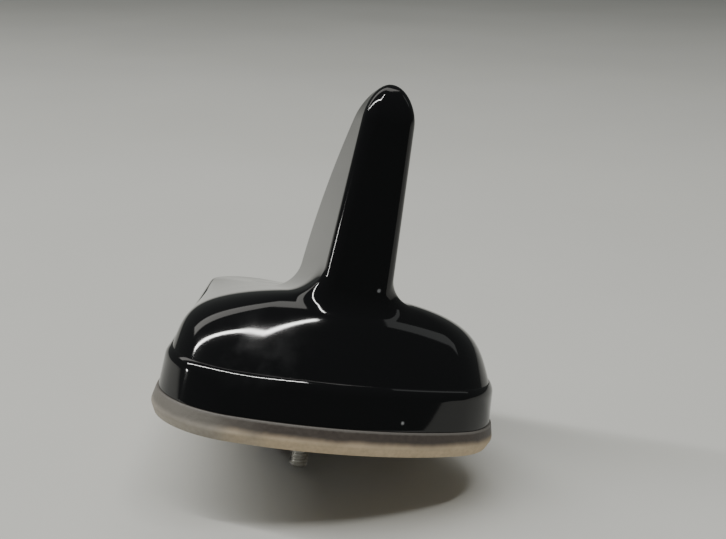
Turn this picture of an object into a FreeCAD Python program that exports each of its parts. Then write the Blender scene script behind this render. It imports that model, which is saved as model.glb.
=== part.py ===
import FreeCAD, Part
import math
import os
import Sketcher
from FreeCAD import Placement, Rotation, Vector

# Car roof antenna with a fin. Millimetres, +X to the front of the car, +Y to its left, +Z up.
# The origin is on the roof's outer face, under the middle of the antenna's length.

doc = FreeCAD.newDocument("roof_antenna")
sheet = doc.addObject("Spreadsheet::Sheet", "Sizes")

SIZES = [
    # outline seen from above: blunt rear, rounded corners, flanks that close to a nose
    ("length", 108.0), ("width", 70.0),
    ("rear_radius", 79.0), ("corner_radius", 17.0), ("nose_radius", 15.3),
    # cover: skirt, crease and dome
    ("rim_height", 4.85), ("rim_inset", 1.05), ("skirt_height", 8.2), ("skirt_lean", 0.7),
    ("crease_ledge", 0.9), ("skirt_edge_radius", 0.75),
    ("dome_rise", 14.5), ("crown_x", -36.8), ("flank_draft", 0.30), ("rear_draft", 0.60), ("front_draft", 0.60),
    ("shoulder_power", 3.8), ("rear_power", 8.5), ("dome_tilt", 9.0), ("wall", 2.5),
    # fin: sizes hold at its root height and change with height from there
    ("fin_root_z", 31.0), ("fin_tip_z", 68.8), ("fin_lead_x", -8.0), ("fin_lead_lean", 0.42),
    ("fin_lead_bow", 0.0095), ("fin_trail_x", -43.5), ("fin_trail_lean", 0.075),
    ("fin_half_width", 7.0), ("fin_taper", 0.062), ("fin_plan_taper", 0.105),
    ("fin_back_radius", 30.0), ("fin_edge_radius", 2.4), ("fin_tip_round", 7.5),
    ("fin_root_fillet", 7.0), ("fin_wall", 2.2), ("fin_core_edge", 0.6), ("core_share", 0.68),
    # gasket under the rim
    ("gasket_foot_inset", 0.9), ("gasket_lip_z", 1.9), ("gasket_lip_round", 1.1),
    ("gasket_top_inset", 0.7), ("gasket_web", 2.4), ("gasket_ring", 11.0), ("gasket_gap", 0.1),
    ("gasket_groove_inset", 7.2), ("gasket_groove_width", 1.6), ("gasket_groove_depth", 0.9),
    # base plate: floor, upstand with a seal groove, boss, posts
    ("floor", 3.2), ("upstand_top", 9.4), ("upstand", 2.6), ("groove_z", 6.6), ("groove_height", 1.8),
    ("groove_depth", 1.2), ("seal_reach", 0.28), ("seal_gap", 0.05),
    ("boss_x", 1.0), ("boss_length", 27.4), ("boss_width", 15.4), ("boss_wall", 2.4), ("boss_depth", 10.5),
    ("boss_corner", 3.0), ("lug_reach", 0.7), ("lug_width", 5.0), ("lug_height", 0.6),
    ("post_radius", 2.75), ("board_z", 7.4), ("board_thickness", 1.2),
    ("board_rear", 35.0), ("board_front", 25.0), ("board_half", 16.0), ("board_shoulder_x", 10.0),
    ("board_front_half", 11.0),
    ("rib_width", 1.4), ("rib_foot", 0.4), ("rib_y", 12.0), ("rib_rear", 36.0), ("rib_front", 8.0),
    ("spine_rear", 41.0), ("spine_front", 41.0), ("spine_gap", 1.0),
    # mounting stud
    ("stud_x", -20.0), ("stud_radius", 2.0), ("stud_depth", 14.0), ("stud_head_radius", 3.25),
    ("stud_head", 1.2), ("stud_chamfer", 0.6), ("stud_pad_radius", 4.0), ("stud_pad_top", 7.0),
    ("stud_pad_foot", 0.4), ("stud_gap", 0.03), ("stud_relief", 0.4), ("stud_relief_height", 1.0),
    # screws
    ("rear_screw_x", -33.5), ("rear_screw_y", 20.0), ("front_screw_x", 29.5), ("front_screw_y", 4.4),
    ("tower_radius", 3.2), ("tower_gap", 0.1), ("pilot_depth", 8.0),
    ("cover_screw_radius", 1.25), ("cover_screw_length", 9.0), ("cover_head_radius", 2.5),
    ("cover_head", 1.6), ("head_recess", 1.9), ("head_gap", 0.3),
    ("rear_post_x", -30.0), ("rear_post_y", 12.5), ("front_post_x", 22.3), ("front_post_y", 8.5),
    ("board_screw_radius", 1.0), ("board_screw_length", 5.0), ("board_head_radius", 2.0), ("board_head", 1.4),
    ("hole_gap", 0.2), ("pilot_gap", 0.03),
    # seals and clip round the boss
    ("boss_seal_width", 2.4), ("boss_seal_foot", 0.2), ("clip_gap", 0.1), ("clip_rim", 2.6),
    ("clip_sheet", 0.8), ("clip_arm_width", 5.0), ("clip_arm_x", 7.5), ("clip_arm_lean", 2.2),
    ("clip_tip_z", -1.2),
    # electronics
    ("can_x", -18.0), ("can_y", 10.2), ("can_length", 18.0), ("can_width", 11.0), ("can_height", 3.8),
    ("can_sheet", 0.3), ("can_round", 0.6),
    ("patch_x", 7.0), ("patch_side", 25.0), ("patch_height", 4.0), ("patch_chamfer", 0.4),
    ("patch_pad_inset", 0.5), ("patch_pad", 0.6), ("patch_pin_gap", 1.8), ("patch_pin_radius", 0.45),
    ("patch_pin_head_radius", 1.1), ("patch_pin_head", 0.35), ("patch_pin_short", 0.2),
    ("carrier_x", -22.0), ("carrier_length", 22.0), ("carrier_width", 9.0), ("carrier_foot", 1.6),
    ("carrier_block_length", 21.0), ("carrier_block_width", 5.0), ("carrier_height", 7.0),
    ("carrier_floor", 1.0), ("slot_gap", 0.03),
    ("fin_board_thickness", 1.0), ("fin_board_tab", 19.0), ("fin_board_shoulder_z", 22.0),
    ("fin_board_top", 58.0), ("fin_board_nose_gap", 3.2), ("fin_board_rear_gap", 1.4),
    ("spring_sheet", 0.3), ("spring_width", 2.4), ("spring_foot_x", -10.6), ("spring_front_x", -7.0),
    ("spring_top_z", 18.0), ("spring_lip", 1.2),
    # coaxial sockets in the boss
    ("socket_gap", 0.7), ("socket_depth", 8.8), ("socket_bore", 3.6),
    ("socket_floor_z", 0.0), ("socket_corner", 1.0), ("key_width", 1.2), ("key_height", 0.7),
    ("shield_radius", 2.3), ("shield_bore", 1.85), ("shield_depth", 6.5), ("insulator_z", 1.0),
    ("pin_radius", 0.5), ("pin_depth", 4.0), ("pin_short", 0.2), ("coax_gap", 0.02),
]
for row, (alias, value) in enumerate(SIZES, start=1):
    sheet.set(f"A{row}", alias)
    sheet.set(f"B{row}", str(value))
    sheet.setAlias(f"B{row}", alias)
doc.recompute()


def number(expression):
    """The value of an expression on the sheet's sizes."""
    value = sheet.evalExpression(expression)
    return float(getattr(value, "Value", value))


def origin_plane(body, role):
    return [part for part in body.Origin.OriginFeatures if part.Role == role][0]


def new_body(label):
    body = doc.addObject("PartDesign::Body", label)
    body.Label = label
    return body


def new_sketch(body, name, height, role="XY_Plane"):
    """A sketch on one of the body's own planes, raised along its normal by an expression."""
    sketch = body.newObject("Sketcher::SketchObject", name)
    sketch.AttachmentSupport = [(origin_plane(body, role), "")]
    sketch.MapMode = "FlatFace"
    sketch.setExpression(".AttachmentOffset.Base.z", height)
    return sketch


def bind(sketch, constraint, expression):
    """Add one driving constraint and tie it to the sheet."""
    index = sketch.addConstraint(constraint)
    sketch.setExpression(f"Constraints[{index}]", expression)


def drop_sketch(body, name, height, rear, half_width, front, back_r, corner_r, nose_r):
    """A drop outline: arc across the rear, two corner arcs, two straight flanks and a nose arc."""
    sketch = new_sketch(body, name, height)
    rear_n, wide_n, front_n = number(rear), number(half_width), number(front)
    back_n, corner_n, nose_n = number(back_r), number(corner_r), number(nose_r)
    back_x = rear_n + back_n
    nose_x = front_n - nose_n
    spread = math.asin((wide_n - corner_n) / (back_n - corner_n))
    corner_x = back_x - (back_n - corner_n) * math.cos(spread)
    corner_y = wide_n - corner_n
    reach = math.hypot(nose_x - corner_x, corner_y)
    flank = math.atan2(-corner_y, nose_x - corner_x) + math.acos((corner_n - nose_n) / reach)
    up = Vector(0, 0, 1)
    turn = math.pi

    def arc(x, y, radius, start, end):
        return Part.ArcOfCircle(Part.Circle(Vector(x, y, 0), up, radius), start, end)

    def on(x, y, radius, angle):
        return Vector(x + radius * math.cos(angle), y + radius * math.sin(angle), 0)

    sketch.addGeometry([
        arc(back_x, 0, back_n, turn - spread, turn + spread),
        arc(corner_x, -corner_y, corner_n, turn + spread, 2 * turn - flank),
        Part.LineSegment(on(corner_x, -corner_y, corner_n, -flank), on(nose_x, 0, nose_n, -flank)),
        arc(nose_x, 0, nose_n, -flank, flank),
        Part.LineSegment(on(nose_x, 0, nose_n, flank), on(corner_x, corner_y, corner_n, flank)),
        arc(corner_x, corner_y, corner_n, flank, turn - spread),
    ])
    for edge in range(6):
        sketch.addConstraint(Sketcher.Constraint("Tangent", edge, 2, (edge + 1) % 6, 1))
    for edge in (0, 3):
        sketch.addConstraint(Sketcher.Constraint("PointOnObject", edge, 3, -1))
    sketch.addConstraint(Sketcher.Constraint("Equal", 1, 5))
    bind(sketch, Sketcher.Constraint("Radius", 0, back_n), back_r)
    bind(sketch, Sketcher.Constraint("Radius", 1, corner_n), corner_r)
    bind(sketch, Sketcher.Constraint("Radius", 3, nose_n), nose_r)
    bind(sketch, Sketcher.Constraint("DistanceY", -1, 1, 5, 3, corner_y), f"({half_width}) - ({corner_r})")
    bind(sketch, Sketcher.Constraint("DistanceY", 1, 3, -1, 1, corner_y), f"({half_width}) - ({corner_r})")
    bind(sketch, Sketcher.Constraint("DistanceX", -1, 1, 0, 3, back_x), f"({rear}) + ({back_r})")
    bind(sketch, Sketcher.Constraint("DistanceX", -1, 1, 3, 3, nose_x), f"({front}) - ({nose_r})")
    return sketch


def inset_sketch(body, name, height, inset):
    """The antenna's outline moved inwards all round."""
    return drop_sketch(
        body, name, height,
        f"-Sizes.length / 2 + ({inset})", f"Sizes.width / 2 - ({inset})", f"Sizes.length / 2 - ({inset})",
        f"Sizes.rear_radius - ({inset})", f"Sizes.corner_radius - ({inset})", f"Sizes.nose_radius - ({inset})")


def loft(body, name, sketches, kind="PartDesign::AdditiveLoft", ruled=False):
    feature = body.newObject(kind, name)
    feature.Profile = (sketches[0], [""])
    feature.Sections = [(sketch, [""]) for sketch in sketches[1:]]
    feature.Ruled = ruled
    doc.recompute()
    return feature


CREASE = "(Sizes.rim_height + Sizes.skirt_height)"
DOME_INSET = "(Sizes.rim_inset + Sizes.skirt_lean + Sizes.crease_ledge)"


def dome_sketch(body, name, level, drop="0", inset="0"):
    """One level of the dome, as a share of its rise: walls lean in, then round over, and the level
    tilts down to the front."""
    def side(half, draft, power):
        return (f"(({half} - {DOME_INSET} - Sizes.{draft} * {level} * Sizes.dome_rise)"
                f" * sqrt(1 - {level} ^ Sizes.{power}) - ({inset}))")
    wide = side("Sizes.width / 2", "flank_draft", "shoulder_power")
    back = side("Sizes.length / 2 + Sizes.crown_x", "rear_draft", "rear_power")
    ahead = side("Sizes.length / 2 - Sizes.crown_x", "front_draft", "shoulder_power")
    share = f"({wide} / (Sizes.width / 2 - {DOME_INSET}))"
    tilt = f"Sizes.dome_tilt * {level}"
    sketch = drop_sketch(
        body, name, f"{CREASE} + {level} * Sizes.dome_rise + Sizes.crown_x * sin({tilt}) - ({drop})",
        f"Sizes.crown_x - {back}", wide, f"Sizes.crown_x + {ahead}",
        f"Sizes.rear_radius * {share}", f"(Sizes.corner_radius - {DOME_INSET}) * {share}",
        f"(Sizes.nose_radius - {DOME_INSET}) * {share}")
    sketch.AttachmentOffset = Placement(sketch.AttachmentOffset.Base, Rotation(Vector(0, 1, 0), number(tilt)))
    sketch.setExpression(".AttachmentOffset.Rotation.Angle", tilt)
    return sketch


def fin_sketch(body, name, height, inset="0", edge="Sizes.fin_edge_radius", swell="1"):
    """One level of the fin: a blunt trailing face, flat sides that close forwards, a round leading edge."""
    rise = f"({height} - Sizes.fin_root_z)"
    lead = (f"(Sizes.fin_lead_x - Sizes.fin_lead_lean * {rise} - Sizes.fin_lead_bow * {rise} ^ 2"
            f" - ({inset}))")
    trail = f"(Sizes.fin_trail_x - Sizes.fin_trail_lean * {rise} + ({inset}))"
    wide = f"(Sizes.fin_half_width - Sizes.fin_taper * {rise} - ({inset}))"
    nose = f"({wide} - Sizes.fin_plan_taper * ({lead} - {trail}))"
    middle = f"(({lead} + {trail}) / 2)"
    reach = f"(({lead} - {trail}) / 2 * {swell})"
    return drop_sketch(
        body, name, height, f"{middle} - {reach}", f"{wide} * {swell}", f"{middle} + {reach}",
        f"Sizes.fin_back_radius * {swell}", f"{edge} * {swell}", f"{nose} * {swell}")


def meeting_edges(feature, below, added):
    """Names of the edges along which an added form meets the form below it."""
    names = []
    for index, edge in enumerate(feature.Shape.Edges, start=1):
        middle = Part.Vertex(edge.valueAt((edge.FirstParameter + edge.LastParameter) / 2))
        if middle.distToShape(below)[0] < 0.001 and middle.distToShape(added)[0] < 0.001:
            names.append(f"Edge{index}")
    return names


CORE_INSET = f"({DOME_INSET} + Sizes.core_share * Sizes.wall)"
FLOOR_TOP = "(Sizes.gasket_web + Sizes.floor)"
BOARD_TOP = "(Sizes.board_z + Sizes.board_thickness)"
COVER_SCREWS = [(f"Sizes.{end}_screw_x", f"{sign}Sizes.{end}_screw_y") for end in ("rear", "front")
                for sign in ("", "-")]
BOARD_SCREWS = [(f"Sizes.{end}_post_x", f"{sign}Sizes.{end}_post_y") for end in ("rear", "front")
                for sign in ("", "-")]


def place(sketch, geometry, point, x, y):
    """Tie one point of a sketch to the origin with two distances."""
    bind(sketch, Sketcher.Constraint("DistanceX", -1, 1, geometry, point, number(x)), x)
    if y == "0":
        sketch.addConstraint(Sketcher.Constraint("PointOnObject", geometry, point, -1))
    else:
        bind(sketch, Sketcher.Constraint("DistanceY", -1, 1, geometry, point, number(y)), y)


def polygon_sketch(body, name, height, outlines, role="XY_Plane"):
    """Closed straight-sided outlines, each corner tied to the sheet."""
    sketch = new_sketch(body, name, height, role)
    first = 0
    for corners in outlines:
        points = [Vector(number(x), number(y), 0) for x, y in corners]
        count = len(points)
        for index in range(count):
            sketch.addGeometry(Part.LineSegment(points[index], points[(index + 1) % count]))
        for index in range(count):
            following = first + (index + 1) % count
            sketch.addConstraint(Sketcher.Constraint("Coincident", first + index, 2, following, 1))
        for index, (x, y) in enumerate(corners):
            place(sketch, first + index, 1, x, y)
        first += count
    return sketch


def box_outline(x, y, length, width):
    rear, front = f"({x}) - ({length}) / 2", f"({x}) + ({length}) / 2"
    right, left = f"({y}) - ({width}) / 2", f"({y}) + ({width}) / 2"
    return [(rear, right), (front, right), (front, left), (rear, left)]


def circle_sketch(body, name, height, centres, radius):
    sketch = new_sketch(body, name, height)
    for index, (x, y) in enumerate(centres):
        sketch.addGeometry(Part.Circle(Vector(number(x), number(y), 0), Vector(0, 0, 1), number(radius)))
        place(sketch, index, 3, x, y)
        bind(sketch, Sketcher.Constraint("Radius", index, number(radius)), radius)
    return sketch


def pad(body, name, sketch, length, down=False, middle=False):
    feature = body.newObject("PartDesign::Pad", name)
    feature.Profile = sketch
    feature.setExpression("Length", length)
    feature.Reversed = down
    feature.Midplane = middle
    doc.recompute()
    return feature


def pocket(body, name, sketch, length=None, up=False):
    """A cut downwards from its sketch, or upwards, to a depth or right through."""
    feature = body.newObject("PartDesign::Pocket", name)
    feature.Profile = sketch
    feature.Reversed = up
    if length is None:
        feature.Type = "ThroughAll"
    else:
        feature.setExpression("Length", length)
    doc.recompute()
    return feature


def dress(body, name, kind, feature, edges, size, amount):
    """A fillet or chamfer on the named edges of the body's last feature."""
    finish = body.newObject(kind, name)
    finish.Base = (feature, edges)
    finish.setExpression(size, amount)
    doc.recompute()
    return finish


def edges_where(feature, test):
    """Names of the edges whose bounding box and length pass a test."""
    return [f"Edge{index}" for index, edge in enumerate(feature.Shape.Edges, start=1) if test(edge)]


def upright(edge):
    box = edge.BoundBox
    return box.ZLength > 0.5 and box.XLength < 0.001 and box.YLength < 0.001


def level_at(expression):
    """A test for edges that lie flat at one height."""
    height = number(expression)
    return lambda edge: edge.BoundBox.ZLength < 0.01 and abs(edge.BoundBox.ZMin - height) < 0.01


def spin(body, name, corners):
    """A turned piece: its half section in the XZ plane, spun about the vertical axis through its origin."""
    sketch = polygon_sketch(body, f"{name}_section", "0", [corners], "XZ_Plane")
    feature = body.newObject("PartDesign::Revolution", name)
    feature.Profile = sketch
    feature.ReferenceAxis = (sketch, ["V_Axis"])
    feature.Angle = 360
    doc.recompute()
    return feature


def stand(body, x):
    """Move a turned body along the car's length to its place."""
    body.setExpression(".Placement.Base.x", x)


# Cover, outside: a skirt with a rounded top edge, a dome that falls to the front, and the fin.
outer = new_body("radome_outside")
skirt = loft(outer, "skirt", [
    inset_sketch(outer, "rim", "Sizes.rim_height", "Sizes.rim_inset"),
    inset_sketch(outer, "skirt_top", CREASE, "Sizes.rim_inset + Sizes.skirt_lean"),
])
dress(outer, "skirt_edge", "PartDesign::Fillet", skirt, edges_where(skirt, level_at(CREASE)),
      "Radius", "Sizes.skirt_edge_radius")
DOME_LEVELS = ("0", "0.15", "0.35", "0.55", "0.72", "0.85", "0.94", "0.98", "0.998")
dome = loft(outer, "dome", [dome_sketch(outer, f"dome_{n}", level) for n, level in enumerate(DOME_LEVELS)])
TIP_START = "(Sizes.fin_tip_z - Sizes.fin_tip_round)"
FIN_RISE = f"({TIP_START} - Sizes.fin_root_z)"
FIN_FOOT = f"({CREASE} + 0.35 * Sizes.dome_rise)"
fin_levels = [FIN_FOOT, "Sizes.fin_root_z"]
fin_levels += [f"(Sizes.fin_root_z + {share} * {FIN_RISE})" for share in ("0.33", "0.66", "0.88", "1")]
fin_sections = [fin_sketch(outer, f"fin_{n}", level) for n, level in enumerate(fin_levels)]
for n, share in enumerate(("0.5", "0.8", "0.95")):
    fin_sections.append(fin_sketch(outer, f"tip_{n}", f"({TIP_START} + {share} * Sizes.fin_tip_round)",
                                   swell=f"sqrt(1 - {share} ^ 2)"))
fin = loft(outer, "fin", fin_sections)
dress(outer, "fin_root", "PartDesign::Fillet", fin, meeting_edges(fin, dome.Shape, fin.AddSubShape),
      "Radius", "Sizes.fin_root_fillet")

# Cover, inside: the same form less the wall, with four screw towers left standing and their pilot holes.
core = new_body("radome_inside")
loft(core, "skirt_space", [
    inset_sketch(core, "mouth", "Sizes.rim_height - Sizes.floor", "Sizes.rim_inset + Sizes.wall"),
    inset_sketch(core, "crease_inside", CREASE, CORE_INSET),
])
SKIN = "Sizes.core_share * Sizes.wall"
dome_space = [inset_sketch(core, "space_0", CREASE, CORE_INSET)]
dome_space += [dome_sketch(core, f"space_{n}", level, "Sizes.wall", SKIN)
               for n, level in enumerate(("0.3", "0.5", "0.7", "0.85", "0.92"), start=1)]
loft(core, "dome_space", dome_space)
fin_space = [FIN_FOOT, "Sizes.fin_root_z", f"(Sizes.fin_root_z + 0.5 * {FIN_RISE})",
             f"({TIP_START} - Sizes.fin_wall)"]
loft(core, "fin_space", [fin_sketch(core, f"fin_space_{n}", level, "Sizes.fin_wall", "Sizes.fin_core_edge")
                         for n, level in enumerate(fin_space)], ruled=True)
TOWER_FOOT = f"{FLOOR_TOP} + Sizes.tower_gap"
pocket(core, "towers", circle_sketch(core, "tower_rings", TOWER_FOOT, COVER_SCREWS, "Sizes.tower_radius"),
       up=True)
pad(core, "pilots", circle_sketch(core, "pilot_rings", TOWER_FOOT, COVER_SCREWS,
                                  "Sizes.cover_screw_radius + Sizes.pilot_gap"), "Sizes.pilot_depth")
radome = doc.addObject("Part::Cut", "radome")
radome.Base = outer
radome.Tool = core

# Roof gasket: a moulded rubber ring with a rounded lip, a seat for the cover's rim, a well for the plate
# and a groove round its underside.
gasket = new_body("roof_gasket")
loft(gasket, "foot", [
    inset_sketch(gasket, "underside", "0", "Sizes.gasket_foot_inset"),
    inset_sketch(gasket, "lip", "Sizes.gasket_lip_z", "0"),
])
bevel = loft(gasket, "bevel", [
    inset_sketch(gasket, "lip_again", "Sizes.gasket_lip_z", "0"),
    inset_sketch(gasket, "seat", "Sizes.rim_height", "Sizes.gasket_top_inset"),
])
dress(gasket, "lip_round", "PartDesign::Fillet", bevel, edges_where(bevel, level_at("Sizes.gasket_lip_z")),
      "Radius", "Sizes.gasket_lip_round")
pocket(gasket, "well", inset_sketch(gasket, "well_edge", "Sizes.rim_height",
                                    f"{CORE_INSET} - Sizes.gasket_gap"), "Sizes.rim_height - Sizes.gasket_web")
pocket(gasket, "groove", inset_sketch(gasket, "groove_outside", "0", "Sizes.gasket_groove_inset"),
       "Sizes.gasket_groove_depth", up=True)
pad(gasket, "inner_bead", inset_sketch(gasket, "groove_inside", "0",
                                       "Sizes.gasket_groove_inset + Sizes.gasket_groove_width"),
    "Sizes.gasket_groove_depth")
pocket(gasket, "window", inset_sketch(gasket, "window_edge", "Sizes.rim_height", "Sizes.gasket_ring"))

# Base plate: a die-cast tray with an upstand, a seal groove, ribs below, a hollow boss, board posts and a
# stud pad.
plate = new_body("base_plate")
pad(plate, "tray", inset_sketch(plate, "tray_edge", "Sizes.gasket_web", CORE_INSET),
    "Sizes.groove_z - Sizes.gasket_web")
pad(plate, "neck", inset_sketch(plate, "neck_edge", "Sizes.groove_z", f"{CORE_INSET} + Sizes.groove_depth"),
    "Sizes.groove_height")
GROOVE_TOP = "(Sizes.groove_z + Sizes.groove_height)"
pad(plate, "bead", inset_sketch(plate, "bead_edge", GROOVE_TOP, CORE_INSET),
    f"Sizes.upstand_top - {GROOVE_TOP}")
pocket(plate, "hollow", inset_sketch(plate, "hollow_edge", "Sizes.upstand_top",
                                     f"{CORE_INSET} + Sizes.upstand"), f"Sizes.upstand_top - {FLOOR_TOP}")
boss = pad(plate, "boss", polygon_sketch(plate, "boss_edge", "Sizes.gasket_web", [
    box_outline("Sizes.boss_x", "0", "Sizes.boss_length", "Sizes.boss_width")]),
    "Sizes.gasket_web + Sizes.boss_depth", down=True)
dress(plate, "boss_corners", "PartDesign::Fillet", boss, edges_where(boss, upright), "Radius",
      "Sizes.boss_corner")
pad(plate, "lugs", polygon_sketch(plate, "lug_edge", "-Sizes.boss_depth", [
    box_outline("Sizes.boss_x", "0", "Sizes.boss_length + 2 * Sizes.lug_reach", "Sizes.lug_width")]),
    "Sizes.lug_height")
BOSS_SIDE = "(Sizes.boss_length / 2 + Sizes.clip_gap + Sizes.boss_seal_width + Sizes.spine_gap)"
RIB_MIDDLE = "((Sizes.rib_front - Sizes.rib_rear) / 2)"
ribs = [box_outline(RIB_MIDDLE, f"{side}Sizes.rib_y", "Sizes.rib_front + Sizes.rib_rear", "Sizes.rib_width")
        for side in ("-", "")]
ribs.append(box_outline("(Sizes.stud_x - Sizes.spine_rear) / 2", "0", "Sizes.stud_x + Sizes.spine_rear",
                        "Sizes.rib_width"))
ribs.append(box_outline(f"(Sizes.boss_x + {BOSS_SIDE} + Sizes.spine_front) / 2", "0",
                        f"Sizes.spine_front - Sizes.boss_x - {BOSS_SIDE}", "Sizes.rib_width"))
pad(plate, "ribs", polygon_sketch(plate, "rib_edges", "Sizes.rib_foot", ribs),
    "Sizes.gasket_web - Sizes.rib_foot")
pad(plate, "stud_pad", circle_sketch(plate, "stud_pad_ring", "Sizes.stud_pad_foot", [("Sizes.stud_x", "0")],
                                     "Sizes.stud_pad_radius"), "Sizes.stud_pad_top - Sizes.stud_pad_foot")
pad(plate, "posts", circle_sketch(plate, "post_rings", "Sizes.gasket_web", BOARD_SCREWS, "Sizes.post_radius"),
    "Sizes.board_z - Sizes.gasket_web")
pocket(plate, "boss_hollow", polygon_sketch(plate, "boss_hollow_edge", FLOOR_TOP, [
    box_outline("Sizes.boss_x", "0", "Sizes.boss_length - 2 * Sizes.boss_wall",
                "Sizes.boss_width - 2 * Sizes.boss_wall")]))
pocket(plate, "stud_hole", circle_sketch(plate, "stud_hole_ring", "Sizes.stud_pad_top", [("Sizes.stud_x", "0")],
                                         "Sizes.stud_radius + Sizes.stud_gap"))
pocket(plate, "stud_seat", circle_sketch(plate, "stud_seat_ring", "Sizes.stud_pad_top", [("Sizes.stud_x", "0")],
                                         "Sizes.stud_head_radius + Sizes.stud_gap"), "Sizes.stud_head")
pocket(plate, "post_pilots", circle_sketch(plate, "post_pilot_rings", "Sizes.board_z", BOARD_SCREWS,
                                           "Sizes.board_screw_radius + Sizes.pilot_gap"),
       "Sizes.board_screw_length - Sizes.board_thickness + Sizes.hole_gap")
pocket(plate, "cover_holes", circle_sketch(plate, "cover_hole_rings", FLOOR_TOP, COVER_SCREWS,
                                           "Sizes.cover_screw_radius + Sizes.hole_gap"))
pocket(plate, "head_recesses", circle_sketch(plate, "head_recess_rings", "Sizes.gasket_web", COVER_SCREWS,
                                             "Sizes.cover_head_radius + Sizes.head_gap"),
       "Sizes.head_recess", up=True)

# Cover seal: a rubber cord in the plate's groove, against the cover's inner wall.
cover_seal = new_body("cover_seal")
pad(cover_seal, "cord", inset_sketch(cover_seal, "cord_outside", "Sizes.groove_z + Sizes.seal_gap",
                                     f"{CORE_INSET} - Sizes.seal_reach"),
    "Sizes.groove_height - 2 * Sizes.seal_gap")
pocket(cover_seal, "cord_inside", inset_sketch(cover_seal, "cord_inside_edge", GROOVE_TOP,
                                               f"{CORE_INSET} + Sizes.groove_depth - Sizes.seal_gap"))

# Boss seal: a foam ring round the boss, on the plate's underside.
boss_seal = new_body("boss_seal")
RING_LENGTH = "(Sizes.boss_length + 2 * Sizes.clip_gap)"
RING_WIDTH = "(Sizes.boss_width + 2 * Sizes.clip_gap)"
foam = pad(boss_seal, "foam", polygon_sketch(boss_seal, "foam_edge", "Sizes.boss_seal_foot", [
    box_outline("Sizes.boss_x", "0", f"{RING_LENGTH} + 2 * Sizes.boss_seal_width",
                f"{RING_WIDTH} + 2 * Sizes.boss_seal_width")]), "Sizes.gasket_web - Sizes.boss_seal_foot")
dress(boss_seal, "foam_corners", "PartDesign::Fillet", foam, edges_where(foam, upright), "Radius",
      "Sizes.boss_corner + Sizes.boss_seal_width")
pocket(boss_seal, "foam_window", polygon_sketch(boss_seal, "foam_window_edge", "Sizes.gasket_web", [
    box_outline("Sizes.boss_x", "0", RING_LENGTH, RING_WIDTH)]))

# Mounting stud: a steel stud with a round head let into the plate from above; its free end takes the nut,
# with a thread relief under the plate.
stud = new_body("mounting_stud")
spin(stud, "stud", [
    ("0", "-Sizes.stud_depth"), ("Sizes.stud_radius - Sizes.stud_chamfer", "-Sizes.stud_depth"),
    ("Sizes.stud_radius", "Sizes.stud_chamfer - Sizes.stud_depth"),
    ("Sizes.stud_radius", "Sizes.stud_pad_foot - Sizes.stud_relief_height"),
    ("Sizes.stud_radius - Sizes.stud_relief", "Sizes.stud_pad_foot - Sizes.stud_relief_height"),
    ("Sizes.stud_radius - Sizes.stud_relief", "Sizes.stud_pad_foot"),
    ("Sizes.stud_radius", "Sizes.stud_pad_foot"),
    ("Sizes.stud_radius", "Sizes.stud_pad_top - Sizes.stud_head"),
    ("Sizes.stud_head_radius", "Sizes.stud_pad_top - Sizes.stud_head"),
    ("Sizes.stud_head_radius", "Sizes.stud_pad_top"), ("0", "Sizes.stud_pad_top"),
])
stand(stud, "Sizes.stud_x")

# Claw clip: a stamped spring-steel frame round the boss, with four bent-up arms that grip the roof from inside.
clip = new_body("claw_clip")
CLIP_FOOT = "(Sizes.lug_height - Sizes.boss_depth)"
CLIP_HALF = f"({RING_WIDTH} / 2 + Sizes.clip_rim)"
frame = pad(clip, "frame", polygon_sketch(clip, "frame_edge", CLIP_FOOT, [
    box_outline("Sizes.boss_x", "0", f"{RING_LENGTH} + 2 * Sizes.clip_rim", f"2 * {CLIP_HALF}")]),
    "Sizes.clip_sheet")
dress(clip, "frame_corners", "PartDesign::Fillet", frame, edges_where(frame, upright), "Radius",
      "Sizes.boss_corner")
pocket(clip, "frame_window", polygon_sketch(clip, "frame_window_edge", f"{CLIP_FOOT} + Sizes.clip_sheet", [
    box_outline("Sizes.boss_x", "0", RING_LENGTH, RING_WIDTH)]))
for end, sign in (("rear", "-"), ("front", "+")):
    arms = []
    for side in ("", "-"):
        arms.append([
            (f"{side}({CLIP_HALF} - Sizes.clip_sheet)", CLIP_FOOT), (f"{side}{CLIP_HALF}", CLIP_FOOT),
            (f"{side}({CLIP_HALF} + Sizes.clip_arm_lean)", "Sizes.clip_tip_z"),
            (f"{side}({CLIP_HALF} + Sizes.clip_arm_lean - Sizes.clip_sheet)", "Sizes.clip_tip_z"),
        ])
    arm_x = f"Sizes.boss_x {sign} Sizes.clip_arm_x"
    pad(clip, f"{end}_arms", polygon_sketch(clip, f"{end}_arm_section", arm_x, arms, "YZ_Plane"),
        "Sizes.clip_arm_width", middle=True)

# Circuit board: glass-fibre board on the four posts, narrowed to the front.
board = new_body("circuit_board")
pad(board, "panel", polygon_sketch(board, "panel_edge", "Sizes.board_z", [[
    ("-Sizes.board_rear", "-Sizes.board_half"), ("Sizes.board_shoulder_x", "-Sizes.board_half"),
    ("Sizes.board_front", "-Sizes.board_front_half"), ("Sizes.board_front", "Sizes.board_front_half"),
    ("Sizes.board_shoulder_x", "Sizes.board_half"), ("-Sizes.board_rear", "Sizes.board_half")]]),
    "Sizes.board_thickness")
pocket(board, "screw_holes", circle_sketch(board, "screw_hole_rings", BOARD_TOP, BOARD_SCREWS,
                                           "Sizes.board_screw_radius + Sizes.hole_gap"))
SOCKET_SIDE = "(Sizes.boss_width - 2 * Sizes.boss_wall - 2 * Sizes.socket_gap)"
SOCKET_PITCH = f"(Sizes.boss_length - 2 * Sizes.boss_wall - 2 * Sizes.socket_gap - {SOCKET_SIDE})"
SOCKETS = {"navigation": f"(Sizes.boss_x + {SOCKET_PITCH} / 2)",
           "telephone": f"(Sizes.boss_x - {SOCKET_PITCH} / 2)"}
PIN_X = f"({SOCKETS['navigation']} + Sizes.patch_pin_gap)"
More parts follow.
